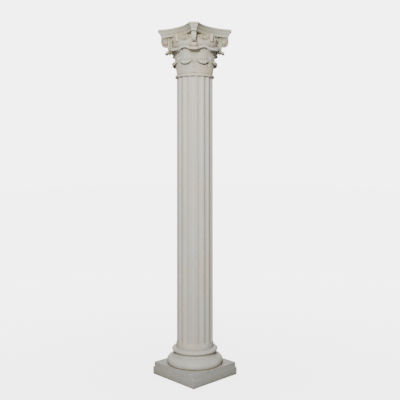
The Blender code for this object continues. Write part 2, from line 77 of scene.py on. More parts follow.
camera_data = bpy.data.cameras.new("camera")
camera_data.sensor_width = SENSOR_WIDTH
camera_data.lens = LENS
camera = bpy.data.objects.new("camera", camera_data)
bpy.context.scene.collection.objects.link(camera)
bpy.context.scene.camera = camera
look = Vector((-math.sin(LOOK_TURN) * math.cos(LOOK_DOWN), math.cos(LOOK_TURN) * math.cos(LOOK_DOWN),
               -math.sin(LOOK_DOWN)))
camera.location = (math.sin(CAMERA_TURN) * CAMERA_DISTANCE, -math.cos(CAMERA_TURN) * CAMERA_DISTANCE,
                   CAMERA_HEIGHT)
camera.rotation_euler = look.to_track_quat("-Z", "Y").to_euler()
print(f"The camera stands {CAMERA_DISTANCE:.2f} m away, {CAMERA_HEIGHT:.2f} m up, with a {LENS} mm lens")

# %% [markdown]
# A few helpers that shape everything
# Most of the column grows the same way: a closed ring of points is extruded level by level, and each
# new ring is moved to where the stone's surface lies. A fluted shaft, a leaf and a scroll differ only
# in the rule that places a point. A number kept on each vertex says which column of the ring it is in,
# and extruding copies that number, so the rule always knows where it is.
#
# The last helper turns a finished bmesh into an object at the origin, with its place in its mesh.

# %% A ring that grows level by level
WELD_DISTANCE = 0.00001


def only(kind, items):
    """Keep the vertices, or the edges, of a mixed list."""
    return [item for item in items if isinstance(item, kind)]


def grow(bm, columns, levels, place):
    """Extrude a ring through the levels; place(column, level) gives each point. Both ends are closed."""
    mark = bm.verts.layers.int.get("column") or bm.verts.layers.int.new("column")
    ring = bmesh.ops.create_circle(bm, segments=columns, radius=1.0)["verts"]
    for column, vert in enumerate(ring):
        vert[mark] = column
        vert.co = place(column, 0)
    edges = list({edge for vert in ring for edge in vert.link_edges})
    made = list(ring)
    bmesh.ops.edgeloop_fill(bm, edges=edges)
    for level in range(1, levels):
        grown = bmesh.ops.extrude_edge_only(bm, edges=edges)["geom"]
        edges = only(bmesh.types.BMEdge, grown)
        verts = only(bmesh.types.BMVert, grown)
        for vert in verts:
            vert.co = place(vert[mark], level)
        made += verts
    bmesh.ops.edgeloop_fill(bm, edges=edges)
    return made


def form(columns, levels, place):
    """Grow one form in a bmesh of its own, with its faces turned outwards, and keep it as a mesh."""
    bm = bmesh.new()
    grow(bm, columns, levels, place)
    bmesh.ops.remove_doubles(bm, verts=bm.verts, dist=WELD_DISTANCE)
    bmesh.ops.recalc_face_normals(bm, faces=bm.faces)
    mesh = bpy.data.meshes.new("form")
    bm.to_mesh(mesh)
    bm.free()
    return mesh


def add_copies(bm, mesh, places):
    """Add a copy of a form to a bmesh at each place."""
    for place in places:
        copy = mesh.copy()
        copy.transform(place)
        bm.from_mesh(copy)
        bpy.data.meshes.remove(copy)


def through(points, share):
    """A point on the smooth curve through the given points, with share running from 0 to 1."""
    place = min(max(share, 0.0), 1.0) * (len(points) - 1)
    index = min(int(place), len(points) - 2)
    t = place - index
    before = points[max(index - 1, 0)]
    start = points[index]
    end = points[index + 1]
    after = points[min(index + 2, len(points) - 1)]
    result = []
    for p0, p1, p2, p3 in zip(before, start, end, after):
        bend = 2 * p0 - 5 * p1 + 4 * p2 - p3
        twist = 3 * p1 - p0 - 3 * p2 + p3
        result.append(0.5 * (2 * p1 + (p2 - p0) * t + bend * t * t + twist * t * t * t))
    return result


# %% From a bmesh to a finished piece
SHARP_ANGLE = math.radians(38.0)


def finished(name, bm):
    """Weld, turn the faces outwards and write the mesh into a smooth-shaded object at the origin."""
    bmesh.ops.remove_doubles(bm, verts=bm.verts, dist=WELD_DISTANCE)
    bmesh.ops.recalc_face_normals(bm, faces=bm.faces)
    mesh = bpy.data.meshes.new(name)
    bm.to_mesh(mesh)
    bm.free()
    mesh.shade_smooth()
    mesh.set_sharp_from_angle(angle=SHARP_ANGLE)
    piece = bpy.data.objects.new(name, mesh)
    bpy.context.scene.collection.objects.link(piece)
    print(f"{name}: {sum(len(face.vertices) - 2 for face in mesh.polygons)} triangles")
    return piece


# %% [markdown]
# The plinth
# The plinth is a square slab with a low step cast on it. A scaled cube is the natural start: its top
# face is inset by the ledge and extruded to the step's height, so slab and step are one body. Cast
# edges are never knife sharp, so every edge gets a small round bevel.

# %% Cast the plinth
SLAB_HEIGHT = 0.0544
LEDGE = 0.0100
PLINTH_ROUNDING = 0.0022

bm = bmesh.new()
bmesh.ops.create_cube(bm, size=2.0)
bmesh.ops.scale(bm, vec=(plinth_high.x, plinth_high.y, SLAB_HEIGHT / 2), verts=bm.verts)
bmesh.ops.translate(bm, vec=(0.0, 0.0, plinth_low.z + SLAB_HEIGHT / 2), verts=bm.verts)
top = [face for face in bm.faces if face.normal.z > 0.5]
bmesh.ops.inset_region(bm, faces=top, thickness=LEDGE)
raised = bmesh.ops.extrude_face_region(bm, geom=top)["geom"]
bmesh.ops.delete(bm, geom=top, context="FACES_ONLY")
step_height = plinth_high.z - plinth_low.z - SLAB_HEIGHT
bmesh.ops.translate(bm, vec=(0.0, 0.0, step_height), verts=only(bmesh.types.BMVert, raised))
bent = [edge for edge in bm.edges if edge.calc_face_angle() > SHARP_ANGLE]
bmesh.ops.bevel(bm, geom=bent, affect="EDGES", offset=PLINTH_ROUNDING, offset_type="OFFSET", segments=3,
                profile=0.5, material=-1, clamp_overlap=True)
plinth = finished("plinth_stone", bm)
print(f"The step stands {step_height * 1000:.0f} mm above the slab")

# %% [markdown]
# The turned base
# The mouldings are a big lower roll, a narrow hollow, a smaller upper roll and a plain band that the
# shaft stands on. They were run round an axis, so the model does the same: the outline is drawn once,
# at the +X side, and spun. Each half of a roll is an arc that leaves the widest line upright and meets
# the next moulding at its seat.

# %% Draw the outline of the mouldings
LOWER_ROLL = {"radius": 0.1997, "foot": 0.1905, "seat": 0.1500, "below": 0.0249, "above": 0.0416,
              "turns": (60.0, 56.0)}
UPPER_ROLL = {"radius": 0.1635, "seat": 0.1460, "below": 0.0158, "above": 0.0167, "turns": (41.0, 54.0)}
HOLLOW_RADIUS = 0.1430
HOLLOW_HEIGHT = 0.0214
BAND_RADIUS = 0.1341
ROLL_STEPS = 14


def half_roll(radius, seat, height, turn):
    """(radius, rise) from a roll's widest line to its edge on the seat."""
    end = math.radians(turn)
    points = []
    for step in range(ROLL_STEPS + 1):
        angle = end * step / ROLL_STEPS
        inward = (1.0 - math.cos(angle)) / (1.0 - math.cos(end))
        points.append((radius - (radius - seat) * inward, height * math.sin(angle) / math.sin(end)))
    return points


lower_middle = base_low.z + LOWER_ROLL["below"]
hollow_low = lower_middle + LOWER_ROLL["above"]
upper_middle = hollow_low + HOLLOW_HEIGHT + UPPER_ROLL["below"]
outline = [(0.0, base_low.z)]
lower_part = half_roll(LOWER_ROLL["radius"], LOWER_ROLL["foot"], LOWER_ROLL["below"], LOWER_ROLL["turns"][0])
outline += [(radius, lower_middle - drop) for radius, drop in reversed(lower_part)]
upper_part = half_roll(LOWER_ROLL["radius"], LOWER_ROLL["seat"], LOWER_ROLL["above"], LOWER_ROLL["turns"][1])
outline += [(radius, lower_middle + rise) for radius, rise in upper_part[1:]]
for step in range(1, ROLL_STEPS):
    angle = math.pi * step / ROLL_STEPS
    seat = LOWER_ROLL["seat"] + (UPPER_ROLL["seat"] - LOWER_ROLL["seat"]) * step / ROLL_STEPS
    radius = seat + (HOLLOW_RADIUS - (LOWER_ROLL["seat"] + UPPER_ROLL["seat"]) / 2) * math.sin(angle)
    outline.append((radius, hollow_low + HOLLOW_HEIGHT * step / ROLL_STEPS))
lower_part = half_roll(UPPER_ROLL["radius"], UPPER_ROLL["seat"], UPPER_ROLL["below"], UPPER_ROLL["turns"][0])
outline += [(radius, upper_middle - drop) for radius, drop in reversed(lower_part)]
upper_part = half_roll(UPPER_ROLL["radius"], BAND_RADIUS, UPPER_ROLL["above"], UPPER_ROLL["turns"][1])
outline += [(radius, upper_middle + rise) for radius, rise in upper_part[1:]]
outline += [(BAND_RADIUS, base_high.z), (0.0, base_high.z)]
print(f"The outline of the base has {len(outline)} points")

# %% Spin it round the column's axis
TURN_STEPS = 160


def spun(bm, outline):
    """A solid of revolution from (radius, height) points that run from the bottom to the top."""
    verts = [bm.verts.new((radius, 0.0, height)) for radius, height in outline]
    edges = [bm.edges.new(pair) for pair in zip(verts, verts[1:])]
    bmesh.ops.spin(bm, geom=verts + edges, cent=(0, 0, 0), axis=(0, 0, 1), angle=math.tau, steps=TURN_STEPS,
                   use_merge=True)


bm = bmesh.new()
spun(bm, outline)
base = finished("base_mouldings", bm)

# %% [markdown]
# The fluted shaft
# Sixteen hollow flutes run from just above the foot up to the ring, with narrow flat fillets between
# them. They could be cut with sixteen booleans, but a ring whose points follow the flutes gives a cleaner
# mesh: each point asks how far out the stone's surface is at its angle and height. A flute is the mark of
# a round rod laid along the shaft, and its foot is the mark of that rod's rounded end.

# %% Name the shaft's sizes
SHAFT_FOOT_RADIUS = 0.1296
SHAFT_NECK_RADIUS = 0.1262
FLARE = 0.0040
FLARE_HEIGHT = 0.0160
RING_THICKNESS = 0.0170
RING_STANDS_OUT = 0.0118
RING_BELOW_TOP = 0.0012
FLUTES = 16
FLUTE_DEPTH = 0.0090
FILLET_WIDTH = 0.0118
FLUTE_START = 0.0170
FLUTE_END_RISE = 0.0080
FLUTE_TURN = math.radians(-49.3)
HOLLOW_COLUMNS = 20
FILLET_COLUMNS = 4

flute_pitch = math.tau / FLUTES
half_flute = (flute_pitch - FILLET_WIDTH / SHAFT_FOOT_RADIUS) / 2
half_chord = SHAFT_FOOT_RADIUS * math.sin(half_flute)
chord_depth = FLUTE_DEPTH - SHAFT_FOOT_RADIUS * (1.0 - math.cos(half_flute))
rod_radius = (half_chord ** 2 + chord_depth ** 2) / (2.0 * chord_depth)
shaft_height = shaft_high.z - shaft_low.z
ring_foot = shaft_height - RING_BELOW_TOP - RING_THICKNESS
print(f"Each flute is the mark of a rod of {rod_radius * 1000:.1f} mm radius")


# %% Rules for the shaft's surface
def plain_radius(height):
    """The turned shaft before its flutes: a spreading foot and a light taper."""
    taper = SHAFT_FOOT_RADIUS + (SHAFT_NECK_RADIUS - SHAFT_FOOT_RADIUS) * min(height / ring_foot, 1.0)
    if height >= FLARE_HEIGHT:
        return taper
    lift = 1.0 - height / FLARE_HEIGHT
    return taper + FLARE * (1.0 - math.sqrt(max(1.0 - lift * lift, 0.0)))


def fluted_radius(angle, height):
    """The surface at an angle from the middle of the nearest flute."""
    surface = plain_radius(height)
    below = FLUTE_START + FLUTE_END_RISE - height
    reach = rod_radius
    if below > 0.0:
        end = FLUTE_END_RISE / math.sqrt(1.0 - (1.0 - chord_depth / rod_radius) ** 2)
        if below >= end:
            return surface
        reach = rod_radius * math.sqrt(1.0 - (below / end) ** 2)
    centre = surface * math.cos(half_flute) + rod_radius - chord_depth
    inside = reach ** 2 - (centre * math.sin(angle)) ** 2
    if inside <= 0.0:
        return surface
    return min(surface, centre * math.cos(angle) - math.sqrt(inside))


def column_angle(column):
    """The angle of a column from its flute's middle, with more columns in the hollow than on the fillet."""
    step = column % (HOLLOW_COLUMNS + FILLET_COLUMNS)
    if step <= HOLLOW_COLUMNS:
        return -half_flute + 2 * half_flute * step / HOLLOW_COLUMNS
    fillet = flute_pitch - 2 * half_flute
    return half_flute + fillet * (step - HOLLOW_COLUMNS) / FILLET_COLUMNS


# %% Choose the levels and grow the shaft
FLARE_LEVELS = 5
FOOT_LEVELS = 14
FOOT_MARGIN = 0.0006
STRAIGHT_LEVELS = 12
RING_LEVELS = 14
RING_HALF_TURN = 84.0

levels = [(FLARE_HEIGHT * step / FLARE_LEVELS, 0.0) for step in range(FLARE_LEVELS)]
flute_foot = FLUTE_END_RISE + 2 * FOOT_MARGIN
levels += [(FLUTE_START - FOOT_MARGIN + flute_foot * step / FOOT_LEVELS, 0.0)
           for step in range(FOOT_LEVELS + 1)]
straight = FLUTE_START + flute_foot
levels += [(straight + (ring_foot - straight) * step / STRAIGHT_LEVELS, 0.0)
           for step in range(1, STRAIGHT_LEVELS + 1)]
ring_radius = RING_THICKNESS / 2
ring_middle = SHAFT_NECK_RADIUS + RING_STANDS_OUT - ring_radius
for step in range(RING_LEVELS + 1):
    angle = math.radians(-RING_HALF_TURN + 2 * RING_HALF_TURN * step / RING_LEVELS)
    ring_height = ring_foot + ring_radius * (1.0 + math.sin(angle))
    levels.append((ring_height, ring_middle + ring_radius * math.cos(angle)))
levels.append((shaft_height - RING_BELOW_TOP / 2, SHAFT_NECK_RADIUS))
levels.append((shaft_height, SHAFT_NECK_RADIUS))


def shaft_point(column, level):
    """Where a column of the ring lies at a level: on the fluted surface, or on the ring at the neck."""
    height, ring = levels[level]
    flute = column // (HOLLOW_COLUMNS + FILLET_COLUMNS)
    angle = column_angle(column)
    radius = ring or fluted_radius(angle, height)
    turn = FLUTE_TURN + flute * flute_pitch + angle
    return Vector((radius * math.cos(turn), radius * math.sin(turn), shaft_low.z + height))


bm = bmesh.new()
grow(bm, FLUTES * (HOLLOW_COLUMNS + FILLET_COLUMNS), len(levels), shaft_point)
shaft = finished("fluted_shaft", bm)

# %% [markdown]
# The capital's bell
# Under its carving the capital is a bell: a turned core that leaves the shaft almost upright and spreads
# to a lip below the slab. Everything else is carved on it, so the parts below all go into one bmesh and
# become one piece, as the casting is one block.

# %% Spin the bell
ABACUS_HEIGHT = 0.0530
BITE = 0.0020
BELL_FOOT_RADIUS = 0.1225
BELL_LIP_RADIUS = 0.1600
BELL_PATH = [(0.0, 0.0), (0.10, 0.16), (0.17, 0.28), (0.24, 0.42), (0.45, 0.58), (0.85, 0.70),
             (1.0, 0.80), (0.95, 0.90), (0.80, 1.0)]
BELL_STEPS = 24

capital_foot = capital_low.z
abacus_foot = COLUMN_HEIGHT - ABACUS_HEIGHT
bell_height = abacus_foot - capital_foot
outline = [(0.0, capital_foot)]
for step in range(BELL_STEPS + 1):
    out, up = through(BELL_PATH, step / BELL_STEPS)
    radius = BELL_FOOT_RADIUS + (BELL_LIP_RADIUS - BELL_FOOT_RADIUS) * out
    outline.append((radius, capital_foot + bell_height * up))
outline += [(BELL_FOOT_RADIUS, abacus_foot + BITE), (0.0, abacus_foot + BITE)]
carving = bmesh.new()
spun(carving, outline)
bmesh.ops.remove_doubles(carving, verts=carving.verts, dist=WELD_DISTANCE)
print(f"The bell is {bell_height * 1000:.0f} mm tall, with {len(carving.faces)} faces")

# %% [markdown]
# The slab on top
# The abacus is a square slab whose four sides are hollowed and whose corners are cut off square. From the
# bottom it has an upright fascia, a sloping moulding that spreads, a narrow quirk and a top fillet. Here
# the growing ring is the slab's plan, and each level says how far the plan draws in at the sides and at
# the horns.

# %% Name the slab's sizes
ABACUS_FASCIA = 0.0175
ABACUS_FILLET = 0.0130
ABACUS_MIDDLE = 0.1570
ABACUS_HOLLOW_RADIUS = 0.2980
ABACUS_HORN = 0.2562
SIDE_INSET = 0.0180
HORN_INSET = 0.0200
QUIRK = 0.0038
ABACUS_ROUNDING = 0.0008
SIDE_COLUMNS = 26
CUT_COLUMNS = 4
SLOPE_LEVELS = 9

slope_height = ABACUS_HEIGHT - ABACUS_FASCIA - ABACUS_FILLET
abacus_levels = [(0.0, 1.0 + 2 * ABACUS_ROUNDING / SIDE_INSET), (ABACUS_ROUNDING, 1.0)]
abacus_levels.append((ABACUS_FASCIA - ABACUS_ROUNDING, 1.0))
for step in range(SLOPE_LEVELS + 1):
    share = step / SLOPE_LEVELS
    out = 0.13 + 0.87 * (1.15 * share - 0.15 * share ** 2)
    inset = 1.0 - out * (1.0 - QUIRK / SIDE_INSET)
    abacus_levels.append((ABACUS_FASCIA + slope_height * share, inset))
abacus_levels.append((ABACUS_FASCIA + slope_height + ABACUS_ROUNDING, 0.0))
abacus_levels.append((ABACUS_HEIGHT - ABACUS_ROUNDING, 0.0))
abacus_levels.append((ABACUS_HEIGHT, ABACUS_ROUNDING / SIDE_INSET))


# %% Grow the slab
def abacus_point(column, level):
    """The plan of the slab at one level: hollow sides between the cut corners."""
    height, inset = abacus_levels[level]
    side, step = divmod(column, SIDE_COLUMNS + CUT_COLUMNS)
    hollow_centre = ABACUS_MIDDLE + ABACUS_HOLLOW_RADIUS
    radius = ABACUS_HOLLOW_RADIUS + SIDE_INSET * inset
    horn = ABACUS_HORN - HORN_INSET * inset
    along = horn - hollow_centre * math.cos(math.pi / 4)
    half_cut = hollow_centre * math.sin(math.pi / 4) - math.sqrt(radius ** 2 - along ** 2)
    sweep = math.asin((horn - half_cut) * math.sin(math.pi / 4) / radius)
    if step <= SIDE_COLUMNS:
        angle = -sweep + 2 * sweep * step / SIDE_COLUMNS
        point = Vector((hollow_centre - radius * math.cos(angle), radius * math.sin(angle), 0.0))
    else:
        across = half_cut * (1.0 - 2.0 * (step - SIDE_COLUMNS) / CUT_COLUMNS)
        point = Matrix.Rotation(math.pi / 4, 3, "Z") @ Vector((horn, -across, 0.0))
    point.z = abacus_foot + height
    return Matrix.Rotation(side * math.pi / 2, 3, "Z") @ point


slab = form(4 * (SIDE_COLUMNS + CUT_COLUMNS), len(abacus_levels), abacus_point)
add_copies(carving, slab, [Matrix()])
print(f"The slab reaches {ABACUS_HORN * 1000:.0f} mm at its horns, {ABACUS_MIDDLE * 1000:.0f} at mid side")

# %% [markdown]
# The leaves
# Two rows of eight leaves clothe the bell, with a small calyx leaf on a broad stalk between the upper
# ones. A leaf could be a thin sheet with thickness added, but carved leaves swell in the middle and thin
# out towards their lobes, so each is grown as a flattened tube: the ring has a front and a back, and its
# levels follow the leaf's side view from the foot, up the bell and over into the curled tip.
#
# Three rules make it a leaf and not a strap: its edge is notched between lobes, its face is ploughed
# into ribs that spread from the foot, and the tip is rounded because its middle travels furthest.

# %% Describe the three kinds of leaf
LEAVES = 8
LOWER_LEAF = {
    "path": [(-0.12, 0.0), (-0.07, 0.27), (0.05, 0.50), (0.18, 0.74), (0.42, 0.93), (0.72, 1.00),
             (0.96, 0.95), (1.00, 0.85), (0.92, 0.73)],
    "outline": [(1.04,), (1.04,), (1.0,), (0.90,), (0.78,)],
    "reach": 0.0300, "rise": 0.0840, "width": 0.0980, "thickness": 0.0075, "tip_thickness": 0.0135,
    "lobes": 4.0, "notch": 0.11, "ribs": 3.5, "rib_depth": 0.0030, "tip_rounding": 0.16, "droop": 0.0,
}
UPPER_LEAF = {
    "path": [(-0.02, 0.30), (0.00, 0.46), (0.02, 0.57), (0.05, 0.66), (0.13, 0.775), (0.31, 0.900),
             (0.54, 0.985), (0.76, 1.00), (0.93, 0.970), (1.00, 0.930), (0.985, 0.895)],
    "outline": [(0.60,), (0.80,), (0.86,), (0.90,), (0.86,)],
    "reach": 0.0735, "rise": 0.1635, "width": 0.0780, "thickness": 0.0095, "tip_thickness": 0.0200,
    "lobes": 5.0, "notch": 0.12, "ribs": 2.5, "rib_depth": 0.0028, "tip_rounding": 0.12, "droop": 0.0060,
}
CALYX_LEAF = {
    "path": [(0.10, 0.38), (0.17, 0.55), (0.23, 0.70), (0.33, 0.83), (0.52, 0.94), (0.76, 1.00),
             (0.94, 0.985), (1.00, 0.925)],
    "outline": [(0.74,), (0.80,), (0.86,), (0.98,), (1.0,)],
    "reach": 0.0530, "rise": 0.1780, "width": 0.0980, "thickness": 0.0100, "tip_thickness": 0.0110,
    "lobes": 4.0, "notch": 0.05, "ribs": 2.5, "rib_depth": 0.0024, "tip_rounding": 0.0, "droop": 0.0240,
}
FRONT_COLUMNS = 44
BACK_COLUMNS = 12
LEAF_LEVELS = 44


# %% The rule that shapes a leaf
def leaf_side(leaf, share):
    """The leaf's side view at a share of its length: the point, and the direction its face looks."""
    out, up = through(leaf["path"], share)
    out_next, up_next = through(leaf["path"], min(share + 0.01, 1.0))
    out_last, up_last = through(leaf["path"], max(share - 0.01, 0.0))
    along = Vector(((out_next - out_last) * leaf["reach"], (up_next - up_last) * leaf["rise"])).normalized()
    return Vector((out * leaf["reach"], up * leaf["rise"])), Vector((along.y, -along.x))


def leaf_point(leaf, column, level):
    """A point of the leaf's ring: across the front, round the edge and back behind."""
    share = level / (LEAF_LEVELS - 1)
    front = column <= FRONT_COLUMNS
    if front:
        across = -1.0 + 2.0 * column / FRONT_COLUMNS
    else:
        across = 1.0 - 2.0 * (column - FRONT_COLUMNS) / BACK_COLUMNS
    fullness = math.sqrt(max(1.0 - across ** 8, 0.0))
    gap = (1.0 - abs(math.sin(math.pi * leaf["lobes"] * share))) ** 2
    half_width = leaf["width"] / 2 * through(leaf["outline"], share)[0]
    half_width *= 1.0 - leaf["notch"] * gap * across ** 4
    travel = share * (1.0 - leaf["tip_rounding"] * across ** 2 * share)
    middle, facing = leaf_side(leaf, travel)
    thickness = leaf["thickness"] + (leaf["tip_thickness"] - leaf["thickness"]) * share ** 3
    lift = thickness / 2 * fullness * (1.0 if front else -1.0)
    if front:
        rib = 0.5 + 0.5 * math.cos(math.tau * leaf["ribs"] * across)
        depth = leaf["rib_depth"] * min((1.0 - share) * 4.0, 1.0)
        lift += depth * (rib - 0.5) * fullness
        lift -= depth * gap * across ** 2
    closing = min((1.0 - share) * 14.0, 1.0)
    lift *= math.sqrt(1.0 - (1.0 - closing) ** 2)
    radius = SHAFT_NECK_RADIUS + middle.x + facing.x * lift
    angle = across * half_width / (SHAFT_NECK_RADIUS + middle.x)
    height = capital_foot + middle.y + facing.y * lift - leaf["droop"] * across ** 2 * share ** 3
    return Vector((radius * math.cos(angle), radius * math.sin(angle), height))


# %% Grow one leaf of each kind and copy it round the bell
def carve_row(leaf, first_angle):
    """Grow one leaf and copy it to its places round the bell."""
    grown = form(FRONT_COLUMNS + BACK_COLUMNS, LEAF_LEVELS,
                 lambda column, level: leaf_point(leaf, column, level))
    turns = [first_angle + number * math.tau / LEAVES for number in range(LEAVES)]
    add_copies(carving, grown, [Matrix.Rotation(turn, 4, "Z") for turn in turns])


between = math.pi / LEAVES
carve_row(LOWER_LEAF, between)
carve_row(UPPER_LEAF, 0.0)
carve_row(CALYX_LEAF, between)
print(f"{3 * LEAVES} leaves bring the carving to {len(carving.faces)} faces")

# %% [markdown]
# The scrolls
# A scroll is a drum whose two faces carry a spiral. Drawing the spiral as a bent bar would need a clean
# join at every turn, so the drum is grown instead, from the middle of one face, out over the rim and back
# to the middle of the other. A point on a face asks how near the spiral passes, and stands out if it is
# close. The drum's own edge follows the outermost turn. On the corner scrolls the rim is hollowed into a
# shallow channel, and the outer top quarter is squared, so that it fills the space under the slab's horn.

# %% The rule for a scroll's face
SCROLL_TURNS = 2.4
SCROLL_TIGHTENING = 1.5
SCROLL_COLUMNS = 56
FACE_LEVELS = 13
RIM_LEVELS = 7


def turn_radius(radius, eye, travelled):
    """How far out the spiral is after it has travelled some turns."""
    share = min(travelled / SCROLL_TURNS, 1.0)
    return radius - (radius - eye) * share ** SCROLL_TIGHTENING


def scroll_relief(radius, eye, band, out, angle):
    """How much of the spiral's full height a point of the face has, from 0 to 1."""
    start = ((math.pi - angle) / math.tau) % 1.0
    best = 1.0 if out < eye else 0.0
    for turn in range(int(SCROLL_TURNS) + 1):
        if start + turn <= SCROLL_TURNS:
            line = turn_radius(radius, eye, start + turn) - band / 2
            best = max(best, 1.0 - abs(out - line) / (band * 0.62))
    return best * best * (3.0 - 2.0 * best)


def squared_reach(scroll, angle):
    """How far past its round edge a scroll reaches where its outer top quarter is squared."""
    if scroll["squareness"] == 0.0 or not 0.0 < angle < math.pi / 2:
        return 1.0
    power = scroll["squareness"]
    return (math.cos(angle) ** power + math.sin(angle) ** power) ** (-1.0 / power)


def scroll_point(scroll, column, level):
    """A point of a scroll in its own frame: X outwards, Z up, Y across its width."""
    angle = math.tau * column / SCROLL_COLUMNS
    start = ((math.pi - angle) / math.tau) % 1.0
    fuller = squared_reach(scroll, angle)
    edge = turn_radius(scroll["radius"], scroll["eye"], start) * fuller
    half_width = scroll["width"] / 2 * (1.0 + scroll["taper"] * math.sin(angle))
    if FACE_LEVELS <= level < FACE_LEVELS + RIM_LEVELS:
        step = (level - FACE_LEVELS + 1) / (RIM_LEVELS + 1)
        across = half_width * (1.0 - 2.0 * step)
        out = edge - scroll["channel"] * math.sin(math.pi * step) ** 2
    else:
        first = level < FACE_LEVELS
        step = level if first else 2 * FACE_LEVELS + RIM_LEVELS - 1 - level
        out = edge * (step + 0.35) / (FACE_LEVELS - 0.65)
        relief = scroll_relief(scroll["radius"], scroll["eye"], scroll["band"], out / fuller, angle)
        across = (half_width - scroll["groove"] * (1.0 - relief)) * (1.0 if first else -1.0)
    return Vector((out * math.cos(angle), across, out * math.sin(angle)))


def scroll_form(scroll):
    """Grow a scroll round its own middle."""
    return form(SCROLL_COLUMNS, 2 * FACE_LEVELS + RIM_LEVELS,
                lambda column, level: scroll_point(scroll, column, level))


# %% [markdown]
# Each corner scroll hangs under a horn of the slab. A deep web behind it closes the space up to the slab,
# and a broad, thin stem rises from the upper leaves and shows past the web's edges. The inner scrolls sit
# in pairs under the middle of each side, with a small upright between them.

# %% Place the corner scrolls
CORNER_SCROLL = {"radius": 0.0360, "eye": 0.0090, "band": 0.0080, "groove": 0.0080, "width": 0.0320,
                 "taper": 0.13, "channel": 0.0015, "squareness": 4.0}
SCROLL_SET_BACK = 0.0334
SCROLL_DROP = 0.0345
scroll_out = ABACUS_HORN - HORN_INSET - SCROLL_SET_BACK
scroll_up = abacus_foot + BITE - SCROLL_DROP
corners = [math.pi / 4 + side * math.pi / 2 for side in range(4)]
moved = Matrix.Translation((scroll_out, 0.0, scroll_up))
places = [Matrix.Rotation(corner, 4, "Z") @ moved for corner in corners]
add_copies(carving, scroll_form(CORNER_SCROLL), places)
print(f"The corner scrolls are centred {scroll_out * 1000:.0f} mm out, {scroll_up:.3f} m up")

# %% Sweep the webs and stems that carry them
STEM_LEVELS = 18
WEB = {
    "path": [(0.0300, 0.1480), (0.0560, 0.1690), (0.0640, 0.1860), (0.0620, 0.2150), (0.0600, 0.2628)],
    "section": [(1.0, 0.0), (1.0, 0.5), (0.93, 0.92), (0.70, 1.0), (0.45, 0.80), (0.0, 0.62), (-1.0, 0.62),
                (-1.0, 0.0), (-1.0, -0.62), (0.0, -0.62), (0.45, -0.80), (0.70, -1.0), (0.93, -0.92),
                (1.0, -0.5)],
    "half_depth": 0.0230, "half_width": 0.0180,
}
STEM = {
    "path": [(0.0330, 0.1480), (0.0370, 0.1870), (0.0380, 0.2080), (0.0450, 0.2370), (0.0660, 0.2540)],
    "section": [(1.0, 0.0), (1.0, 0.85), (0.5, 1.0), (-0.5, 1.0), (-1.0, 0.85), (-1.0, 0.0), (-1.0, -0.85),
                (-0.5, -1.0), (0.5, -1.0), (1.0, -0.85)],
    "half_depth": 0.0060, "half_width": 0.0205,
}


def swept_point(shape, column, level):
    """A section swept up its path, in the corner's own frame."""
    out, up = through(shape["path"], level / (STEM_LEVELS - 1))
    front, side = shape["section"][column]
    middle = SHAFT_NECK_RADIUS + out - shape["half_depth"]
    return Vector((middle + shape["half_depth"] * front, shape["half_width"] * side, capital_foot + up))


for shape in (WEB, STEM):
    swept = form(len(shape["section"]), STEM_LEVELS, lambda column, level: swept_point(shape, column, level))
    add_copies(carving, swept, [Matrix.Rotation(corner, 4, "Z") for corner in corners])

# %% Place the inner scrolls
INNER_SCROLL = {"radius": 0.0255, "eye": 0.0070, "band": 0.0062, "groove": 0.0060, "width": 0.0500,
                "taper": 0.0, "channel": 0.0, "squareness": 0.0}
INNER_STRETCH = 1.40
INNER_FRONT = 0.1660
INNER_SPACING = 0.1220
inner_up = abacus_foot + BITE - INNER_SCROLL["radius"]
inner_turn = math.atan2(INNER_SPACING / 2, INNER_FRONT)
faces = [side * math.pi / 2 for side in range(4)]
scroll = scroll_form(INNER_SCROLL)
for face in faces:
    for side in (-1, 1):
        place = Matrix.Rotation(face + side * inner_turn, 4, "Z")
        place = place @ Matrix.Translation((INNER_FRONT - INNER_SCROLL["width"] / 2, 0.0, inner_up))
        place = place @ Matrix.Diagonal((1.0, INNER_STRETCH, 1.0, 1.0))
        add_copies(carving, scroll, [place @ Matrix.Rotation(side * math.pi / 2, 4, "Z")])
print(f"The inner scrolls turn {math.degrees(inner_turn):.1f} degrees from the middle of each side")

# %% Add the small uprights and finish the capital
UPRIGHT_WIDTH = 0.0200
UPRIGHT_FRONT = 0.1830
UPRIGHT_HEIGHT = 0.0490
UPRIGHT_LEVELS = 9


def upright_point(column, level):
    """A small rounded upright that swells towards its top."""
    share = level / (UPRIGHT_LEVELS - 1)
    angle = math.tau * column / 16
    swell = 0.78 + 0.22 * share
    out = UPRIGHT_FRONT - 0.024 + 0.024 * swell * math.cos(angle)
    return Vector((out, UPRIGHT_WIDTH / 2 * swell * math.sin(angle) * 1.15,
                   abacus_foot + BITE - UPRIGHT_HEIGHT * (1.0 - share)))


upright = form(16, UPRIGHT_LEVELS, upright_point)
add_copies(carving, upright, [Matrix.Rotation(face, 4, "Z") for face in faces])
capital = finished("carved_capital", carving)

# %% [markdown]
# The stone
# Cast stone is matte and almost even, but never one flat colour. From near it shows dark grains, and from
# a step away it is faintly blotched in warm and cool tones. The creases and hollows of the carving are
# darkened with a brownish painted shade, while the slab on top is washed greyer. All of it is worked out
# from the piece's own coordinates and hollows, so it stays put from every side.

# %% Small helpers for shader nodes
def node(tree, kind, **inputs):
    """Add a node and set the inputs that are named."""
    made = tree.nodes.new(kind)
    for name, value in inputs.items():
        made.inputs[name.replace("_", " ")].default_value = value
    return made


def blend_colour(tree, factor, first, second, mode="MIX"):
    """A colour mix whose inputs are sockets or plain colours."""
    mix = tree.nodes.new("ShaderNodeMix")
    mix.data_type = "RGBA"
    mix.blend_type = mode
    for socket, value in zip((mix.inputs[0], mix.inputs[6], mix.inputs[7]), (factor, first, second)):
        if isinstance(value, bpy.types.NodeSocket):
            tree.links.new(value, socket)
        else:
            socket.default_value = value
    return mix.outputs[2]


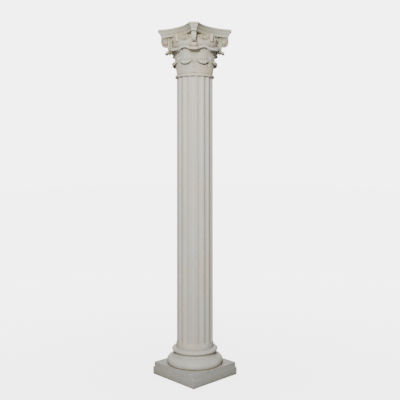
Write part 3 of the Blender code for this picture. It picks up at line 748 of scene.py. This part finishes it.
def spread(tree, value, low, high, to_low, to_high):
    """Map a value from one range to another, held at the ends."""
    ranged = node(tree, "ShaderNodeMapRange", From_Min=low, From_Max=high, To_Min=to_low, To_Max=to_high)
    tree.links.new(value, ranged.inputs["Value"])
    return ranged.outputs["Result"]


# %% Mix a cast stone
GRAIN_COLOUR = (0.20, 0.18, 0.15)
# Reaches of the painted shade: a short one for creases and a longer one for hollows.
PAINTED_CREASE_SHADE_REACH = 0.010
PAINTED_HOLLOW_SHADE_REACH = 0.045
WASHED_GREY = (0.90, 0.96, 1.0)
WASHED_BELOW = 0.005
WASHED_ABOVE = 0.010


def cast_stone(name, warm, cool, shade_and_stain, hollow_shade_strength):
    """A matte stone in two tones, with grains, runs, painted brownish shade in its creases and hollows, and a
    greyer, washed slab.
    """
    washed_low = abacus_foot - WASHED_BELOW
    washed_high = abacus_foot + WASHED_ABOVE
    material = bpy.data.materials.new(name)
    material.use_nodes = True
    tree = material.node_tree
    shader = tree.nodes["Principled BSDF"]
    shader.inputs["Specular IOR Level"].default_value = 0.25
    place = tree.nodes.new("ShaderNodeTexCoord").outputs["Object"]

    def noise(scale, detail, roughness, stretch=(1.0, 1.0, 1.0)):
        """Noise at a scale given in waves to the metre."""
        mapping = node(tree, "ShaderNodeMapping", Scale=stretch)
        tree.links.new(place, mapping.inputs["Vector"])
        made = node(tree, "ShaderNodeTexNoise", Scale=scale, Detail=detail, Roughness=roughness)
        tree.links.new(mapping.outputs["Vector"], made.inputs["Vector"])
        return made.outputs["Fac"]

    blotches = spread(tree, noise(5.5, 4.0, 0.6), 0.38, 0.62, 0.0, 1.0)
    colour = blend_colour(tree, blotches, (*warm, 1.0), (*cool, 1.0))
    runs = spread(tree, noise(14.0, 3.0, 0.5, (1.0, 1.0, 0.10)), 0.50, 0.75, 0.0, 0.16)
    colour = blend_colour(tree, runs, colour, (*shade_and_stain, 1.0))
    mottle = spread(tree, noise(70.0, 5.0, 0.65), 0.30, 0.70, 0.90, 1.08)
    grey = node(tree, "ShaderNodeCombineColor")
    for channel in ("Red", "Green", "Blue"):
        tree.links.new(mottle, grey.inputs[channel])
    colour = blend_colour(tree, 1.0, colour, grey.outputs["Color"], "MULTIPLY")
    grains = spread(tree, noise(620.0, 2.0, 0.5), 0.60, 0.72, 0.0, 0.22)
    colour = blend_colour(tree, grains, colour, (*GRAIN_COLOUR, 1.0))
    # Painted shade: close to other stone the colour turns towards the brown, so creases and grooves look
    # shaded.
    creases = node(tree, "ShaderNodeAmbientOcclusion", Distance=PAINTED_CREASE_SHADE_REACH)
    creases.samples = 8
    line = spread(tree, creases.outputs["AO"], 0.45, 0.95, 0.55, 0.0)
    colour = blend_colour(tree, line, colour, (*shade_and_stain, 1.0))
    # Painted shade: the hollows of the carving turn brown by each stone's own strength, and only a fifth as
    # much on the slab.
    hollows = node(tree, "ShaderNodeAmbientOcclusion", Distance=PAINTED_HOLLOW_SHADE_REACH)
    hollows.samples = 8
    hollow_shade_mask = spread(tree, hollows.outputs["AO"], 0.25, 0.85, hollow_shade_strength, 0.0)
    height = tree.nodes.new("ShaderNodeSeparateXYZ")
    tree.links.new(place, height.inputs["Vector"])
    hollow_shade_off_slab = node(tree, "ShaderNodeMath")
    hollow_shade_off_slab.operation = "MULTIPLY"
    tree.links.new(hollow_shade_mask, hollow_shade_off_slab.inputs[0])
    tree.links.new(spread(tree, height.outputs["Z"], washed_low, washed_high, 1.0, 0.20), hollow_shade_off_slab.inputs[1])
    colour = blend_colour(tree, hollow_shade_off_slab.outputs["Value"], colour, (*shade_and_stain, 1.0))
    washed = spread(tree, height.outputs["Z"], washed_low, washed_high, 0.0, 0.70)
    colour = blend_colour(tree, washed, colour, (*WASHED_GREY, 1.0), "MULTIPLY")
    tree.links.new(colour, shader.inputs["Base Color"])
    tree.links.new(spread(tree, noise(90.0, 4.0, 0.6), 0.3, 0.7, 0.78, 0.95), shader.inputs["Roughness"])
    fine = node(tree, "ShaderNodeBump", Strength=0.35, Distance=0.0006)
    tree.links.new(noise(480.0, 4.0, 0.7), fine.inputs["Height"])
    broad = node(tree, "ShaderNodeBump", Strength=0.30, Distance=0.0020)
    tree.links.new(noise(60.0, 4.0, 0.6), broad.inputs["Height"])
    tree.links.new(fine.outputs["Normal"], broad.inputs["Normal"])
    tree.links.new(broad.outputs["Normal"], shader.inputs["Normal"])
    return material


# %% Give each piece its stone and its place in the model
# One brown colours the runs, which are stains, and the painted shade in creases and hollows. The last number
# of each stone is the strength of its painted shade in the hollows.
SHADE_AND_STAIN_BROWN = (0.25, 0.200, 0.115)
STONES = {
    "plinth": (plinth, (0.37, 0.355, 0.295), (0.34, 0.34, 0.315), 0.45),
    "base": (base, (0.53, 0.50, 0.425), (0.50, 0.49, 0.445), 0.50),
    "shaft": (shaft, (0.54, 0.495, 0.405), (0.52, 0.51, 0.465), 0.60),
    "capital": (capital, (0.50, 0.435, 0.305), (0.465, 0.455, 0.395), 0.80),
}
for part, (piece, warm, cool, hollow_shade_strength) in STONES.items():
    piece.data.materials.append(cast_stone(f"{part} cast stone", warm, cool, SHADE_AND_STAIN_BROWN, hollow_shade_strength))
    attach(piece, "root")
    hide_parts(part)
print(f"{len(STONES)} pieces are dressed in cast stone")

# %% [markdown]
# Floor and light
# The column stands on a plain pale floor in soft studio light. A key lamp stands high and close to the
# camera's own direction, a low fill opens the shadows under the carving, and a lamp behind lights the
# far side. The surround itself is faint, so that the leaves and flutes keep their shadows.
#
# A floor and a backdrop bright enough to look nearly white would flood the stone from all round, so their
# glow is seen by camera rays only and lights nothing. Near the column the floor's glow is dimmer, a painted
# soft shadow round its foot.

# %% Lay the floor
FLOOR_HALF = 40.0
bm = bmesh.new()
bmesh.ops.create_grid(bm, x_segments=1, y_segments=1, size=FLOOR_HALF)
mesh = bpy.data.meshes.new("floor")
bm.to_mesh(mesh)
bm.free()
floor = bpy.data.objects.new("floor", mesh)
bpy.context.scene.collection.objects.link(floor)
# Painted shade: the floor glows less near the column and reaches its full glow a few metres away.
GLOW_NEAR_PAINTED_SHADE = 4.0
GLOW_FAR = 5.2
PAINTED_SHADE_FADE_START = 0.3
PAINTED_SHADE_FADE_END = 4.0
pale = bpy.data.materials.new("pale floor")
pale.use_nodes = True
tree = pale.node_tree
shader = tree.nodes["Principled BSDF"]
shader.inputs["Base Color"].default_value = (0.25, 0.25, 0.245, 1.0)
shader.inputs["Roughness"].default_value = 0.9
shader.inputs["Emission Color"].default_value = (1.0, 1.0, 1.0, 1.0)
away = node(tree, "ShaderNodeVectorMath")
away.operation = "LENGTH"
tree.links.new(tree.nodes.new("ShaderNodeTexCoord").outputs["Object"], away.inputs[0])
glow = node(tree, "ShaderNodeMath")
glow.operation = "MULTIPLY"
glow_with_painted_shade = spread(tree, away.outputs["Value"], PAINTED_SHADE_FADE_START, PAINTED_SHADE_FADE_END, GLOW_NEAR_PAINTED_SHADE, GLOW_FAR)
tree.links.new(glow_with_painted_shade, glow.inputs[1])
tree.links.new(tree.nodes.new("ShaderNodeLightPath").outputs["Is Camera Ray"], glow.inputs[0])
tree.links.new(glow.outputs["Value"], shader.inputs["Emission Strength"])
mesh.materials.append(pale)

# %% Light it softly
SURROUND_LIGHT = 0.25
BACKDROP_LIGHT = 5.5
world = bpy.data.worlds.new("studio")
world.use_nodes = True
tree = world.node_tree
surround = tree.nodes["Background"]
surround.inputs["Color"].default_value = (1.0, 1.0, 1.0, 1.0)
surround.inputs["Strength"].default_value = SURROUND_LIGHT
backdrop = node(tree, "ShaderNodeBackground", Color=(1.0, 1.0, 1.0, 1.0), Strength=BACKDROP_LIGHT)
seen = tree.nodes.new("ShaderNodeMixShader")
tree.links.new(tree.nodes.new("ShaderNodeLightPath").outputs["Is Camera Ray"], seen.inputs[0])
tree.links.new(surround.outputs["Background"], seen.inputs[1])
tree.links.new(backdrop.outputs["Background"], seen.inputs[2])
tree.links.new(seen.outputs["Shader"], tree.nodes["World Output"].inputs["Surface"])
bpy.context.scene.world = world


def soft_lamp(name, turn, height, distance, size, power):
    """A square area lamp that points at the column's upper half."""
    lamp = bpy.data.lights.new(name, "AREA")
    lamp.size = size
    lamp.energy = power
    held = bpy.data.objects.new(name, lamp)
    bpy.context.scene.collection.objects.link(held)
    angle = CAMERA_TURN + math.radians(turn)
    held.location = (math.sin(angle) * distance, -math.cos(angle) * distance, height)
    aim = Vector((0.0, 0.0, COLUMN_HEIGHT * 0.6)) - held.location
    held.rotation_euler = aim.to_track_quat("-Z", "Y").to_euler()


soft_lamp("key lamp", -6.0, 2.8, 3.3, 0.6, 205.0)
soft_lamp("fill lamp", -8.0, 0.6, 3.6, 1.6, 20.0)
soft_lamp("back lamp", 180.0, 2.8, 3.3, 1.6, 170.0)
print("A key lamp, a low fill, a lamp behind and a faint surround light the column")
